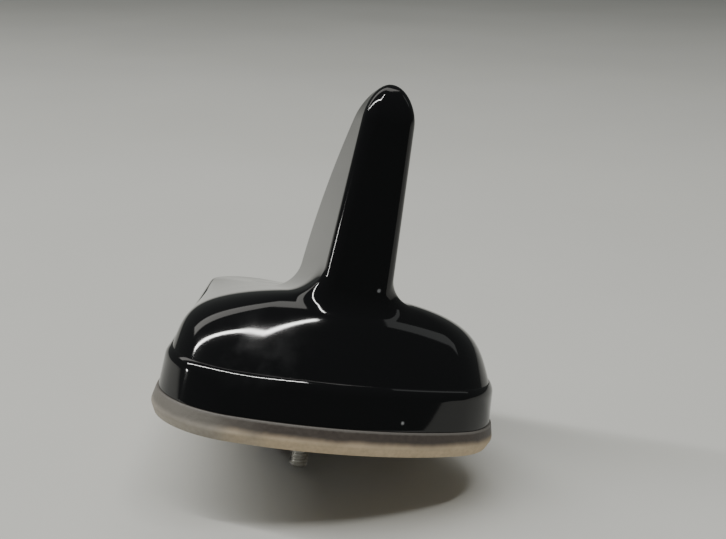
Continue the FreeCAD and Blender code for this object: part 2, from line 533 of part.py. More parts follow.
pocket(board, "patch_pin_hole", circle_sketch(board, "patch_pin_hole_ring", BOARD_TOP, [(PIN_X, "0")],
                                              "Sizes.patch_pin_radius + Sizes.hole_gap"))
pocket(board, "socket_pin_holes", circle_sketch(board, "socket_pin_hole_rings", BOARD_TOP,
                                                [(x, "0") for x in SOCKETS.values()],
                                                "Sizes.pin_radius + Sizes.hole_gap"))

# Shield can: a drawn tin lid over the amplifier, open below.
can = new_body("shield_can")
lid = pad(can, "lid", polygon_sketch(can, "lid_edge", BOARD_TOP, [
    box_outline("Sizes.can_x", "Sizes.can_y", "Sizes.can_length", "Sizes.can_width")]), "Sizes.can_height")
dress(can, "lid_round", "PartDesign::Fillet", lid,
      edges_where(lid, lambda edge: upright(edge) or level_at(f"{BOARD_TOP} + Sizes.can_height")(edge)),
      "Radius", "Sizes.can_round")
pocket(can, "lid_hollow", polygon_sketch(can, "lid_hollow_edge", BOARD_TOP, [
    box_outline("Sizes.can_x", "Sizes.can_y", "Sizes.can_length - 2 * Sizes.can_sheet",
                "Sizes.can_width - 2 * Sizes.can_sheet")]), "Sizes.can_height - Sizes.can_sheet", up=True)

# Patch antenna: a square ceramic tile on an adhesive pad, fed by a headed pin through tile, pad and board.
PATCH_FOOT = f"({BOARD_TOP} + Sizes.patch_pad)"
PATCH_TOP = f"({PATCH_FOOT} + Sizes.patch_height)"
cushion = new_body("patch_pad")
pad(cushion, "sheet", polygon_sketch(cushion, "sheet_edge", BOARD_TOP, [
    box_outline("Sizes.patch_x", "0", "Sizes.patch_side - 2 * Sizes.patch_pad_inset",
                "Sizes.patch_side - 2 * Sizes.patch_pad_inset")]), "Sizes.patch_pad")
pocket(cushion, "sheet_hole", circle_sketch(cushion, "sheet_hole_ring", PATCH_FOOT, [(PIN_X, "0")],
                                            "Sizes.patch_pin_radius + Sizes.hole_gap"))
patch = new_body("patch_antenna")
tile = pad(patch, "tile", polygon_sketch(patch, "tile_edge", PATCH_FOOT, [
    box_outline("Sizes.patch_x", "0", "Sizes.patch_side", "Sizes.patch_side")]), "Sizes.patch_height")
dress(patch, "tile_edges", "PartDesign::Chamfer", tile,
      edges_where(tile, lambda edge: upright(edge) or level_at(PATCH_TOP)(edge)), "Size", "Sizes.patch_chamfer")
pocket(patch, "tile_hole", circle_sketch(patch, "tile_hole_ring", PATCH_TOP, [(PIN_X, "0")],
                                         "Sizes.patch_pin_radius + Sizes.pilot_gap"))
patch_pin = new_body("patch_pin")
spin(patch_pin, "pin", [
    ("0", "Sizes.board_z + Sizes.patch_pin_short"),
    ("Sizes.patch_pin_radius", "Sizes.board_z + Sizes.patch_pin_short"),
    ("Sizes.patch_pin_radius", PATCH_TOP), ("Sizes.patch_pin_head_radius", PATCH_TOP),
    ("Sizes.patch_pin_head_radius", f"{PATCH_TOP} + Sizes.patch_pin_head"),
    ("0", f"{PATCH_TOP} + Sizes.patch_pin_head"),
])
stand(patch_pin, PIN_X)

# Fin carrier: a moulded foot on the board with a slot that holds the upright board.
carrier = new_body("fin_carrier")
CARRIER_TOP = f"({BOARD_TOP} + Sizes.carrier_height)"
pad(carrier, "carrier_base", polygon_sketch(carrier, "carrier_base_edge", BOARD_TOP, [
    box_outline("Sizes.carrier_x", "0", "Sizes.carrier_length", "Sizes.carrier_width")]), "Sizes.carrier_foot")
pad(carrier, "carrier_block", polygon_sketch(carrier, "carrier_block_edge", BOARD_TOP, [
    box_outline("Sizes.carrier_x", "0", "Sizes.carrier_block_length", "Sizes.carrier_block_width")]),
    "Sizes.carrier_height")
pocket(carrier, "carrier_slot", polygon_sketch(carrier, "carrier_slot_edge", CARRIER_TOP, [
    box_outline("Sizes.carrier_x", "0", "Sizes.fin_board_tab + 2 * Sizes.slot_gap",
                "Sizes.fin_board_thickness + 2 * Sizes.slot_gap")]),
       "Sizes.carrier_height - Sizes.carrier_floor")

# Fin board: an upright board with the printed aerial, from the carrier's slot up into the fin.
fin_board = new_body("fin_board")


def fin_board_edge(height, front):
    rise = f"({height} - Sizes.fin_root_z)"
    if front:
        return (f"Sizes.fin_lead_x - Sizes.fin_lead_lean * {rise} - Sizes.fin_lead_bow * {rise} ^ 2"
                " - Sizes.fin_wall - Sizes.fin_board_nose_gap", height)
    return (f"Sizes.fin_trail_x - Sizes.fin_trail_lean * {rise} + Sizes.fin_wall"
            " + Sizes.fin_board_rear_gap", height)


TAB_FOOT = f"({BOARD_TOP} + Sizes.carrier_floor)"
TAB_FRONT = "(Sizes.carrier_x + Sizes.fin_board_tab / 2)"
TAB_REAR = "(Sizes.carrier_x - Sizes.fin_board_tab / 2)"
MIDWAY = "((Sizes.fin_root_z + Sizes.fin_board_top) / 2)"
pad(fin_board, "aerial", polygon_sketch(fin_board, "aerial_edge", "0", [[
    (TAB_REAR, TAB_FOOT), (TAB_FRONT, TAB_FOOT), (TAB_FRONT, "Sizes.fin_board_shoulder_z"),
    fin_board_edge("Sizes.fin_root_z", True), fin_board_edge(MIDWAY, True),
    fin_board_edge("Sizes.fin_board_top", True), fin_board_edge("Sizes.fin_board_top", False),
    fin_board_edge("Sizes.fin_root_z", False), fin_board_edge("Sizes.fin_board_shoulder_z", False),
    (TAB_REAR, "Sizes.fin_board_shoulder_z")]], "XZ_Plane"), "Sizes.fin_board_thickness", middle=True)

# Feed spring: a bent strip from the circuit board to the upright board's front edge.
spring = new_body("feed_spring")
pad(spring, "strip", polygon_sketch(spring, "strip_section", "0", [[
    ("Sizes.spring_foot_x", BOARD_TOP), ("Sizes.spring_front_x", BOARD_TOP),
    ("Sizes.spring_front_x", "Sizes.spring_top_z"), (TAB_FRONT, "Sizes.spring_top_z"),
    (TAB_FRONT, "Sizes.spring_top_z - Sizes.spring_lip"),
    (f"{TAB_FRONT} + Sizes.spring_sheet", "Sizes.spring_top_z - Sizes.spring_lip"),
    (f"{TAB_FRONT} + Sizes.spring_sheet", "Sizes.spring_top_z - Sizes.spring_sheet"),
    ("Sizes.spring_front_x - Sizes.spring_sheet", "Sizes.spring_top_z - Sizes.spring_sheet"),
    ("Sizes.spring_front_x - Sizes.spring_sheet", f"{BOARD_TOP} + Sizes.spring_sheet"),
    ("Sizes.spring_foot_x", f"{BOARD_TOP} + Sizes.spring_sheet")]], "XZ_Plane"),
    "Sizes.spring_width", middle=True)


def screw_set(label, centres, shank_radius, shank_foot, shank_length, head_radius, head_foot, head_height):
    """Equal screws as separate solids in one group, each a head and a shank."""
    screws = []
    for index, (x, y) in enumerate(centres, start=1):
        rods = []
        for part, radius, foot, height in (("shank", shank_radius, shank_foot, shank_length),
                                           ("head", head_radius, head_foot, head_height)):
            rod = doc.addObject("Part::Cylinder", f"{label}_{part}_{index}")
            rod.setExpression("Radius", radius)
            rod.setExpression("Height", height)
            rod.setExpression(".Placement.Base.x", x)
            rod.setExpression(".Placement.Base.y", y)
            rod.setExpression(".Placement.Base.z", foot)
            rods.append(rod)
        screw = doc.addObject("Part::MultiFuse", f"{label}_{index}")
        screw.Shapes = rods
        screw.Refine = True
        screws.append(screw)
    group = doc.addObject("Part::Compound", label)
    group.Links = screws
    doc.recompute()
    return group


# Screws: four hold the board to its posts from above, four hold the cover to the plate from below.
board_screws = screw_set("board_screws", BOARD_SCREWS, "Sizes.board_screw_radius",
                         f"{BOARD_TOP} - Sizes.board_screw_length", "Sizes.board_screw_length",
                         "Sizes.board_head_radius", BOARD_TOP, "Sizes.board_head")
HEAD_SEAT = "(Sizes.gasket_web + Sizes.head_recess)"
cover_screws = screw_set("cover_screws", COVER_SCREWS, "Sizes.cover_screw_radius", HEAD_SEAT,
                         "Sizes.cover_screw_length", "Sizes.cover_head_radius",
                         f"{HEAD_SEAT} - Sizes.cover_head", "Sizes.cover_head")

# Sockets: two coded coaxial sockets stand under the board and open downwards inside the boss.
coax = []
for use, x in SOCKETS.items():
    shell = new_body(f"{use}_socket")
    block = pad(shell, f"{use}_block", polygon_sketch(shell, f"{use}_block_edge", "-Sizes.socket_depth", [
        box_outline(x, "0", SOCKET_SIDE, SOCKET_SIDE)]), "Sizes.board_z + Sizes.socket_depth")
    dress(shell, f"{use}_corners", "PartDesign::Fillet", block, edges_where(block, upright), "Radius",
          "Sizes.socket_corner")
    pocket(shell, f"{use}_mouth", circle_sketch(shell, f"{use}_mouth_ring", "-Sizes.socket_depth", [(x, "0")],
                                                "Sizes.socket_bore"),
           "Sizes.socket_depth + Sizes.socket_floor_z", up=True)
    sides = ("-",) if use == "navigation" else ("-", "")
    keys = [box_outline(x, f"{side}(Sizes.socket_bore - Sizes.key_height / 2)", "Sizes.key_width",
                        "2 * Sizes.key_height") for side in sides]
    pad(shell, f"{use}_keys", polygon_sketch(shell, f"{use}_key_edges", "Sizes.socket_floor_z", keys),
        "Sizes.socket_depth + Sizes.socket_floor_z", down=True)
    pocket(shell, f"{use}_seat", circle_sketch(shell, f"{use}_seat_ring", "Sizes.board_z", [(x, "0")],
                                               "Sizes.shield_radius + Sizes.coax_gap"))
    sleeve = new_body(f"{use}_shield")
    spin(sleeve, f"{use}_tube", [
        ("Sizes.shield_bore", "-Sizes.shield_depth"), ("Sizes.shield_radius", "-Sizes.shield_depth"),
        ("Sizes.shield_radius", "Sizes.board_z"), ("Sizes.shield_bore", "Sizes.board_z")])
    stand(sleeve, x)
    bead = new_body(f"{use}_insulator")
    spin(bead, f"{use}_bead", [
        ("Sizes.pin_radius + Sizes.coax_gap", "Sizes.insulator_z"),
        ("Sizes.shield_bore - Sizes.coax_gap", "Sizes.insulator_z"),
        ("Sizes.shield_bore - Sizes.coax_gap", "Sizes.board_z"),
        ("Sizes.pin_radius + Sizes.coax_gap", "Sizes.board_z")])
    stand(bead, x)
    contact = new_body(f"{use}_pin")
    spin(contact, f"{use}_contact", [
        ("0", "-Sizes.pin_depth"), ("Sizes.pin_radius / 2", "-Sizes.pin_depth"),
        ("Sizes.pin_radius", "Sizes.pin_radius - Sizes.pin_depth"),
        ("Sizes.pin_radius", f"{BOARD_TOP} - Sizes.pin_short"), ("0", f"{BOARD_TOP} - Sizes.pin_short")])
    stand(contact, x)
    coax += [shell, sleeve, bead, contact]

doc.recompute()
pieces = [radome, gasket, plate, cover_seal, boss_seal, stud, clip, board, can, patch, cushion, patch_pin,
          carrier, fin_board, spring, board_screws, cover_screws] + coax
for thing in doc.Objects:
    if "Invalid" in thing.State or "Error" in thing.State:
        raise RuntimeError(f"{thing.Label} did not build")
os.makedirs("parts", exist_ok=True)
for piece in pieces:
    if piece.Shape.isNull() or not piece.Shape.isValid():
        raise RuntimeError(f"{piece.Label} is not a valid solid")
    piece.Shape.exportStep(os.path.join("parts", f"{piece.Label}.step"))
    print(piece.Label, len(piece.Shape.Solids), round(piece.Shape.Volume, 1))
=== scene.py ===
import math
import bpy
import numpy as np
from mathutils import Matrix, Vector


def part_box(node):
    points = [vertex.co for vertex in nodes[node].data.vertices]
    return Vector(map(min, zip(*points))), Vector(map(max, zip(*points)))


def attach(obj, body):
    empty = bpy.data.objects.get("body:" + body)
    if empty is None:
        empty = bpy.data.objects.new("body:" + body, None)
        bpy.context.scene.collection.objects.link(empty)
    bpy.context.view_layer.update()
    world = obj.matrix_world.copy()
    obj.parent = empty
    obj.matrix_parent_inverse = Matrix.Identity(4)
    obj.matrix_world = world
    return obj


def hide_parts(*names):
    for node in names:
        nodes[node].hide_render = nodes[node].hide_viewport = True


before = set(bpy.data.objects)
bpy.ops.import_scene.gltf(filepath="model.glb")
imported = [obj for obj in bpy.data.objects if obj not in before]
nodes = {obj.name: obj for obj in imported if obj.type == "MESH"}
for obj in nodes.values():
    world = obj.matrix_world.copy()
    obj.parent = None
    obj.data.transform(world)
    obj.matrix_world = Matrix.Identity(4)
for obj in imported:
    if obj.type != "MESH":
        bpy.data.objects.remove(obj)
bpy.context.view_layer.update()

# Camera: behind the antenna and a little to its left, near the roof's level and rolled, as the antenna lies in the
# picture. across, upward and back are the picture's own directions, which the floor and the lamps share.
turn, pitch, roll = math.radians(18.0), math.radians(8.422), math.radians(9.37)
look = Vector((math.cos(turn) * math.cos(pitch), -math.sin(turn) * math.cos(pitch), -math.sin(pitch)))
level = Vector((-math.sin(turn), -math.cos(turn), 0.0))
across = level * math.cos(roll) + level.cross(look) * math.sin(roll)
upward = level.cross(look) * math.cos(roll) - level * math.sin(roll)
back = -look
camera = bpy.data.objects.new("camera", bpy.data.cameras.new("camera"))
bpy.context.scene.collection.objects.link(camera)
camera.matrix_world = Matrix((across, upward, back)).transposed().to_4x4()
camera.location = (-0.24862, 0.06693, 0.06543)
camera.data.lens = 57.19
camera.data.sensor_width = 36.0
camera.data.clip_start = 0.01
bpy.context.scene.camera = camera


# Floor: a pale, plain sheet that is level in the picture. The antenna leans on it, so the floor passes just below the
# lowest point of the solids. It stops a little in front of the antenna, where the photograph's reflections are dark.
class Wire:
    """A socket in a node tree. Arithmetic on it adds math nodes, and node() adds any other node."""

    def __init__(self, tree, socket):
        self.tree, self.socket = tree, socket

    def node(self, kind, settings, sockets, out=0):
        made = self.tree.nodes.new(kind)
        for name, value in settings.items():
            setattr(made, name, value)
        for name, value in sockets.items():
            if isinstance(value, Wire):
                self.tree.links.new(value.socket, made.inputs[name])
            else:
                made.inputs[name].default_value = value
        return Wire(self.tree, made.outputs[out])

    def math(self, operation, *values):
        return self.node("ShaderNodeMath", {"operation": operation}, dict(enumerate(values)))

    def __add__(self, other):
        return self.math("ADD", self, other)

    def __sub__(self, other):
        return self.math("SUBTRACT", self, other)

    def __mul__(self, other):
        return self.math("MULTIPLY", self, other)

    def __rsub__(self, other):
        return self.math("SUBTRACT", other, self)

    __radd__ = __add__
    __rmul__ = __mul__

    def size(self):
        return self.math("ABSOLUTE", self)

    def repeat(self, period):
        """A triangle wave of this wire, from 0 to half the period."""
        return self.math("PINGPONG", self, period / 2)

    def step(self, low, high):
        """0 below low and 1 above high, smooth between."""
        return self.node("ShaderNodeMapRange", {"interpolation_type": "SMOOTHSTEP"},
                         {"Value": self, "From Min": low, "From Max": high})

    def mix(self, first, second):
        """A colour from the first to the second, by this wire."""
        ends = [value if isinstance(value, Wire) else (*value, 1.0) for value in (first, second)]
        return self.node("ShaderNodeMix", {"data_type": "RGBA"}, {0: self, 6: ends[0], 7: ends[1]}, 2)

    def axis(self, index):
        return self.node("ShaderNodeSeparateXYZ", {}, {"Vector": self}, index)

    def scaled(self, x, y, z):
        return self.node("ShaderNodeVectorMath", {"operation": "MULTIPLY"}, {0: self, 1: (x, y, z)})

    def far(self, point):
        """Distance of these coordinates from a point."""
        return self.node("ShaderNodeVectorMath", {"operation": "DISTANCE"}, {0: self, 1: point}, 1)

    def noise(self, scale, detail=3.0):
        return self.node("ShaderNodeTexNoise", {}, {"Vector": self, "Scale": scale, "Detail": detail})

    def cells(self, scale):
        return self.node("ShaderNodeTexVoronoi", {}, {"Vector": self, "Scale": scale})

    def bump(self, height, strength, depth):
        """A normal from a height in this wire's tree, of a depth in millimetres."""
        return self.node("ShaderNodeBump", {}, {"Height": height, "Strength": strength, "Distance": depth * 0.001})


def material(name, finish):
    """A material from a function that turns object coordinates in millimetres into the shader's inputs."""
    made = bpy.data.materials.new(name)
    made.use_nodes = True
    tree = made.node_tree
    shader = tree.nodes["Principled BSDF"]
    place = tree.nodes.new("ShaderNodeTexCoord").outputs["Object"]
    for socket, value in finish(Wire(tree, place).scaled(1000.0, 1000.0, 1000.0)).items():
        if isinstance(value, Wire):
            tree.links.new(value.socket, shader.inputs[socket])
        else:
            shader.inputs[socket].default_value = value
    return made


def painted_floor(where):
    cloud = where.noise(0.006, 4.0)
    return {"Base Color": cloud.mix((0.47, 0.47, 0.45), (0.54, 0.54, 0.52)), "Roughness": 0.55 + cloud * 0.1,
            "Specular IOR Level": 0.25}


FLOOR_TILT = math.radians(17.5)
floor_up = upward * math.cos(FLOOR_TILT) + back * math.sin(FLOOR_TILT)
floor_side = floor_up.cross(back).normalized()
floor_front = floor_side.cross(floor_up)
lowest = min((node.matrix_world @ vertex.co).dot(floor_up)
             for node in nodes.values() for vertex in node.data.vertices)
FLOOR_SIDE, FLOOR_FAR, FLOOR_NEAR, FLOOR_GAP = 3.0, -5.0, 0.10, 0.0002
sheet = bpy.data.meshes.new("floor")
sheet.from_pydata([floor_up * (lowest - FLOOR_GAP) + floor_side * a + floor_front * b
                   for a, b in ((-FLOOR_SIDE, FLOOR_FAR), (-FLOOR_SIDE, FLOOR_NEAR),
                                (FLOOR_SIDE, FLOOR_NEAR), (FLOOR_SIDE, FLOOR_FAR))], [], [(0, 1, 2, 3)])
sheet.materials.append(material("floor", painted_floor))
floor = bpy.data.objects.new("floor", sheet)
bpy.context.scene.collection.objects.link(floor)

# Lamps: a long tube overhead with a bent end, whose line runs along the shoulder and the crease of the gloss cover, a
# dimmer broad panel beyond it, a weak one on the right and a small one far left. Little light comes from behind the
# camera, where the picture is black.
world = bpy.data.worlds.new("world")
world.use_nodes = True
world.node_tree.nodes["Background"].inputs["Color"].default_value = (0.80, 0.85, 0.80, 1.0)
world.node_tree.nodes["Background"].inputs["Strength"].default_value = 0.13
bpy.context.scene.world = world
AIM = Vector((-0.036, 0.0, 0.025))


def panel(name, right, up, near, long_axis, length, width, power, colour):
    """A lamp at a place given in the picture's directions, in metres, with its length along a line of them."""
    spot = across * right + upward * up + back * near
    along = (across * long_axis[0] + upward * long_axis[1] + back * long_axis[2]).normalized()
    facing = (spot - along * spot.dot(along)).normalized()
    light = bpy.data.lights.new(name, "AREA")
    light.shape, light.size, light.size_y = "RECTANGLE", length, width
    light.energy, light.color = power, colour
    lamp = bpy.data.objects.new(name, light)
    bpy.context.scene.collection.objects.link(lamp)
    lamp.matrix_world = Matrix((along, facing.cross(along), facing)).transposed().to_4x4()
    lamp.location = AIM + spot


panel("tube", -0.70, 1.0, 0.62, (1.0, 0.0, 0.51), 2.02, 0.045, 23.0, (1.0, 1.0, 0.97))
panel("tube_end", 0.33, 1.0, 0.90, (0.26, 0.0, -0.32), 0.42, 0.045, 4.8, (1.0, 1.0, 0.97))
panel("ceiling", -0.45, 1.0, -0.05, (1.0, 0.0, 0.30), 2.2, 0.30, 5.0, (1.0, 0.98, 0.93))
panel("side", 1.5, 1.0, 0.2, (1.0, 0.0, -0.4), 1.2, 0.25, 0.6, (0.97, 1.0, 0.98))
panel("window", -0.97, 0.02, 0.16, (0.0, 1.0, 0.0), 0.07, 0.04, 0.5, (1.0, 0.99, 0.96))

# Cover: one glossy black moulding of skirt, dome and fin, screwed to the plate from below. The skirt's top edge is
# round and leaves a crease under the dome, the dome falls to the front, and the fin grows out of it in one fillet. It
# is hollow, into the fin too, with towers inside for the screws.
LENGTH, WIDTH = 108.0, 70.0
REAR_R, CORNER_R, NOSE_R = 79.0, 17.0, 15.3
SHARES = [72, 40, 96, 64, 96, 40]
COUNT = sum(SHARES)
PLACE = np.concatenate([np.arange(n) / n for n in SHARES])
SIDE = np.repeat([0, 1, 2, 3, 4, 5], SHARES)


def outline(rear, wide, front, back_r, corner_r, nose_r):
    """Drop outline as a ring of points with the angle of each outward normal: an arc across the rear, a corner arc, a
    straight flank, a nose arc and back along the other side. Arguments broadcast against the ring's places."""
    back_x, nose_x, corner_y = rear + back_r, front - nose_r, wide - corner_r
    spread = np.arcsin(corner_y / (back_r - corner_r))
    corner_x = back_x - (back_r - corner_r) * np.cos(spread)
    flank = (np.arctan2(-corner_y, nose_x - corner_x)
             + np.arccos((corner_r - nose_r) / np.hypot(nose_x - corner_x, corner_y)))
    turned = np.pi - spread - flank
    angle = np.select([SIDE == 0, SIDE == 1, SIDE == 2, SIDE == 3, SIDE == 4],
                      [np.pi + spread * (2 * PLACE - 1), np.pi + spread + turned * PLACE, -flank + 0 * PLACE,
                       flank * (2 * PLACE - 1), flank + 0 * PLACE], flank + turned * PLACE)
    ahead = np.select([SIDE == 2, SIDE == 3, SIDE == 4], [PLACE, 1.0, 1 - PLACE], 0.0)
    hand = np.select([SIDE < 3, SIDE > 3], [-1.0, 1.0], 0.0)
    x = (1 - ahead) * (corner_x + corner_r * np.cos(angle)) + ahead * (nose_x + nose_r * np.cos(angle))
    y = (1 - ahead) * (hand * corner_y + corner_r * np.sin(angle)) + ahead * nose_r * np.sin(angle)
    x = np.where(SIDE == 0, back_x + back_r * np.cos(angle), x)
    y = np.where(SIDE == 0, back_r * np.sin(angle), y)
    return x, y, angle


def inset_rings(profile):
    """Rings round the antenna from pairs of inset from its outline and height."""
    inset, height = np.array(profile, float).T[:, :, None]
    x, y, _ = outline(inset - LENGTH / 2, WIDTH / 2 - inset, LENGTH / 2 - inset,
                      REAR_R - inset, CORNER_R - inset, NOSE_R - inset)
    return np.stack([x, y, height + 0 * x], -1)


def round_corner(before, corner, after, radius, count):
    """Points of an arc that rounds the corner between two lines of a profile."""
    before, corner, after = (np.array(point, float) for point in (before, corner, after))
    first, second = (end - corner for end in (before, after))
    first, second = first / np.linalg.norm(first), second / np.linalg.norm(second)
    half = np.arccos(first @ second) / 2
    middle = corner + (first + second) / np.linalg.norm(first + second) * radius / np.sin(half)
    start = corner + first * radius / np.tan(half) - middle
    end = corner + second * radius / np.tan(half) - middle
    share = np.linspace(0, 1, count)[:, None]
    arc = np.pi - 2 * half
    return (middle + (np.sin((1 - share) * arc) * start + np.sin(share * arc) * end) / np.sin(arc)).tolist()


DOME_INSET, CREASE_Z, DOME_RISE, CROWN_X, TILT = 2.65, 13.05, 14.5, -36.8, math.radians(9.0)
FLANK_DRAFT, REAR_DRAFT, FRONT_DRAFT, SHOULDER, REAR_POWER = 0.30, 0.60, 0.60, 3.8, 8.5


def dome_outline(share, skin=0.0):
    """The outline's arguments at a share of the dome's rise: walls lean in and round over towards the top."""
    def reach(half, draft, power):
        return (half - DOME_INSET - draft * share * DOME_RISE) * np.sqrt(1 - share ** power) - skin
    wide = reach(WIDTH / 2, FLANK_DRAFT, SHOULDER)
    part = wide / (WIDTH / 2 - DOME_INSET)
    return (CROWN_X - reach(LENGTH / 2 + CROWN_X, REAR_DRAFT, REAR_POWER), wide,
            CROWN_X + reach(LENGTH / 2 - CROWN_X, FRONT_DRAFT, SHOULDER),
            REAR_R * part, (CORNER_R - DOME_INSET) * part, (NOSE_R - DOME_INSET) * part)


def dome_level(share, x):
    """Height of the level at a share of the rise: each level tips down to the front about the crown."""
    return CREASE_Z + share * DOME_RISE + CROWN_X * np.sin(TILT * share) - x * np.tan(TILT * share)


def dome_height(x, y):
    """Height of the dome over a point of the plan: halving finds the level whose outline passes through it."""
    low, high = np.zeros_like(x), np.full_like(x, 0.99999)
    for _ in range(34):
        share = (low + high) / 2
        rear, wide, front, back_r, corner_r, nose_r = dome_outline(share)
        along, beside = x / np.cos(TILT * share), np.abs(y)
        back_x, nose_x, corner_y = rear + back_r, front - nose_r, wide - corner_r
        spread = np.arcsin(corner_y / (back_r - corner_r))
        corner_x = back_x - (back_r - corner_r) * np.cos(spread)
        flank = (np.arctan2(-corner_y, nose_x - corner_x)
                 + np.arccos((corner_r - nose_r) / np.hypot(nose_x - corner_x, corner_y)))
        on_nose = np.sin(flank) * (along - nose_x) > np.cos(flank) * beside
        on_flank = np.sin(flank) * (along - corner_x) > np.cos(flank) * (beside - corner_y)
        on_rear = beside * np.cos(spread) < (back_x - along) * np.sin(spread)
        beyond = np.select(
            [on_nose, on_flank, on_rear],
            [np.hypot(along - nose_x, beside) - nose_r,
             np.cos(flank) * (along - corner_x) + np.sin(flank) * (beside - corner_y) - corner_r,
             np.hypot(along - back_x, beside) - back_r], np.hypot(along - corner_x, beside - corner_y) - corner_r)
        low, high = np.where(beyond < 0, share, low), np.where(beyond < 0, high, share)
    return dome_level(low, x)


ROOT_Z, TIP_Z, TIP_ROUND, ROOT_FILLET = 31.0, 68.8, 7.5, 7.0
LEAD_X, LEAD_LEAN, LEAD_BOW, TRAIL_X, TRAIL_LEAN = -8.0, 0.42, 0.0095, -43.5, 0.075
FIN_HALF, FIN_TAPER, PLAN_TAPER, FIN_BACK_R, FIN_EDGE = 7.0, 0.062, 0.105, 30.0, 2.4


def fin_outline(z, swell=1.0, inset=0.0, edge=FIN_EDGE):
    """The outline's arguments at a height of the fin: its front sweeps back in a bow and its sides close forwards."""
    up = z - ROOT_Z
    lead, trail = LEAD_X - LEAD_LEAN * up - LEAD_BOW * up ** 2 - inset, TRAIL_X - TRAIL_LEAN * up + inset
    wide = FIN_HALF - FIN_TAPER * up - inset
    nose = wide - PLAN_TAPER * (lead - trail)
    middle, reach = (lead + trail) / 2, (lead - trail) / 2 * swell
    return middle - reach, wide * swell, middle + reach, FIN_BACK_R * swell, edge * swell, nose * swell


def fin_points(z, step=0.05):
    """Points and outward normals of the fin, each place at its own height."""
    x, y, angle = outline(*fin_outline(z))
    next_x, next_y, _ = outline(*fin_outline(z + step))
    lean = (np.cos(angle) * (next_x - x) + np.sin(angle) * (next_y - y)) / step
    normal = np.stack([np.cos(angle), np.sin(angle), -lean], -1)
    return np.stack([x, y, z], -1), normal / np.linalg.norm(normal, axis=-1, keepdims=True)


def dome_normal(x, y, step=0.02):
    """Unit normal of the dome over a point of the plan."""
    slope_x = (dome_height(x + step, y) - dome_height(x - step, y)) / (2 * step)
    slope_y = (dome_height(x, y + step) - dome_height(x, y - step)) / (2 * step)
    normal = np.stack([-slope_x, -slope_y, np.ones_like(x)], -1)
    return normal / np.linalg.norm(normal, axis=-1, keepdims=True)


LOW_TOUCH, HIGH_TOUCH, FILLET_ROWS = 24.0, 44.0, 16


def root_fillet():
    """The fillet of dome and fin, with its foot on the dome and its heights on the fin: a ball of the fillet's radius
    rolls along the fin, and halving finds the height at which it touches the dome too. Rings are arcs of the ball."""
    low, high = np.full(COUNT, LOW_TOUCH), np.full(COUNT, HIGH_TOUCH)
    for _ in range(26):
        touch_z = (low + high) / 2
        touch, touch_normal = fin_points(touch_z)
        ball = touch + ROOT_FILLET * touch_normal
        foot = touch[:, :2] + 0.6 * ROOT_FILLET * touch_normal[:, :2]
        for _ in range(12):
            foot_normal = dome_normal(foot[:, 0], foot[:, 1])
            foot = 0.5 * foot + 0.5 * (ball[:, :2] - ROOT_FILLET * foot_normal[:, :2])
        too_low = ball[:, 2] - ROOT_FILLET * foot_normal[:, 2] < dome_height(foot[:, 0], foot[:, 1])
        low, high = np.where(too_low, touch_z, low), np.where(too_low, high, touch_z)
    start = np.concatenate([foot, dome_height(foot[:, 0], foot[:, 1])[:, None]], 1) - ball
    end = touch - ball
    sweep = np.arccos(np.clip((start * end).sum(-1) / ROOT_FILLET ** 2, -1, 1))[:, None]
    share = np.linspace(0, 1, FILLET_ROWS + 1)[1:, None, None]
    rings = ball + (np.sin((1 - share) * sweep) * start + np.sin(share * sweep) * end) / np.sin(sweep)
    return foot, touch_z, rings


RIM_INSET, RIM_Z, RIM_R, SKIRT_TOP, WALL = 1.05, 4.85, 0.15, 1.75, 2.5
EDGE_Z, EDGE_INSET, EDGE_R, TURN_R = 11.09, 1.5, 3.0, 0.35
EDGE_TURN, LAST_TURN = np.linspace(5.0, 45.0, 12), np.linspace(52.0, 88.0, 6)


def skirt_rings():
    """The skirt from its rim up: a straight wall that leans in, then an arc of a large and one of a small radius."""
    over = np.radians(np.concatenate([EDGE_TURN, LAST_TURN]))
    radius = np.repeat([EDGE_R, TURN_R], [len(EDGE_TURN) - 1, len(LAST_TURN)])
    reach, rise = (np.concatenate([[0.0], np.cumsum(radius * np.diff(part))])
                   for part in (np.cos(over), np.sin(over)))
    edge = np.stack([EDGE_INSET - reach, EDGE_Z + rise], 1).tolist()
    rim = round_corner((RIM_INSET + 1, RIM_Z), (RIM_INSET, RIM_Z), (SKIRT_TOP, CREASE_Z), RIM_R, 4)
    wall = [(RIM_INSET + (EDGE_INSET - RIM_INSET) * share, RIM_Z + (EDGE_Z - RIM_Z) * share)
            for share in np.linspace(0.08, 0.95, 6)]
    return inset_rings([(RIM_INSET + WALL, RIM_Z)] + rim + wall + edge)


DOME_ROWS, SHAFT_ROWS, TIP_ROWS, CORE_ROWS, DOME_CROWDING = 82, 47, 26, 16, 1.5
foot, touch_z, fillet = root_fillet()
base_x, base_y, _ = outline(*dome_outline(np.zeros(1)))
base = np.stack([base_x, base_y], -1)
plan = base + (foot - base) * np.linspace(0, 1, DOME_ROWS)[:, None, None] ** DOME_CROWDING
dome = np.concatenate([plan, dome_height(plan[..., 0], plan[..., 1])[..., None]], -1)
dome[0, :, 2] = CREASE_Z
TIP_START = TIP_Z - TIP_ROUND
climb = np.linspace(0, 1, SHAFT_ROWS + 1)[1:]
shaft = np.array([fin_points(touch_z + (TIP_START - touch_z) * share)[0] for share in climb])
tip_turn = np.linspace(0, math.pi / 2, TIP_ROWS + 2)[1:-1, None]
tip_x, tip_y, _ = outline(*fin_outline(TIP_START + TIP_ROUND * np.sin(tip_turn), np.cos(tip_turn)))
tip_rise = (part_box("radome")[1].z * 1000 - TIP_START) / np.sin(tip_turn[-1])
tip = np.stack([tip_x, tip_y, TIP_START + tip_rise * np.sin(tip_turn) + 0 * tip_x], -1)

